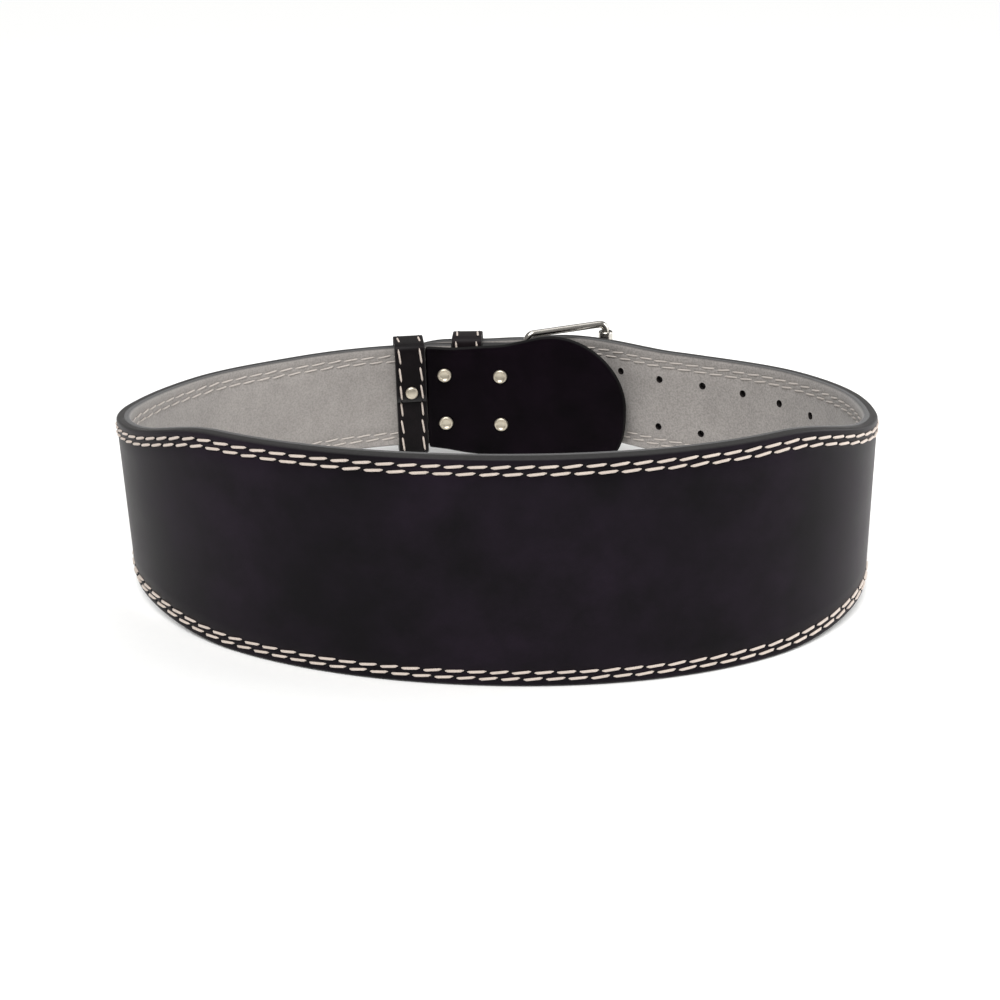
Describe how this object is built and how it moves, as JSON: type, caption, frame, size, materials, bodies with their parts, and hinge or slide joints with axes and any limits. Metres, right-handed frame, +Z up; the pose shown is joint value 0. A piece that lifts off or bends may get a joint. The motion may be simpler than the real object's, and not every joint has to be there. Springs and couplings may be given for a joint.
{
  "type": "weightlifting belt",
  "caption": "Closed leather waist belt, wide at the back and narrow at the buckle, with suede lining, shield, roller buckle with prongs, keeper loops and punched tongue.",
  "frame": {"origin": "on the floor, under the middle of the belt's footprint", "axes": "+Z up, the wide back of the belt towards -Y, the buckle towards +Y, the keepers towards -X"},
  "size_m": [0.35, 0.2846, 0.1011],
  "materials": {
    "black_leather": "smooth, semi-gloss",
    "dark_leather": "smooth, satin",
    "grey_suede": "napped suede",
    "nickel_rivet": "dull nickel plate",
    "buckle_steel": "polished nickel plate"
  },
  "bodies": {
    "root": {"outer_leather": "black_leather", "suede_lining": "grey_suede", "buckle_shield": "dark_leather", "shield_rivet_1": "nickel_rivet", "shield_rivet_2": "nickel_rivet", "shield_rivet_3": "nickel_rivet", "shield_rivet_4": "nickel_rivet", "buckle_frame": "buckle_steel", "buckle_roller": "buckle_steel", "prong_upper": "buckle_steel", "prong_lower": "buckle_steel", "keeper_fixed": "black_leather", "keeper_riveted": "black_leather", "keeper_rivet": "nickel_rivet"}
  },
  "joints": []
}
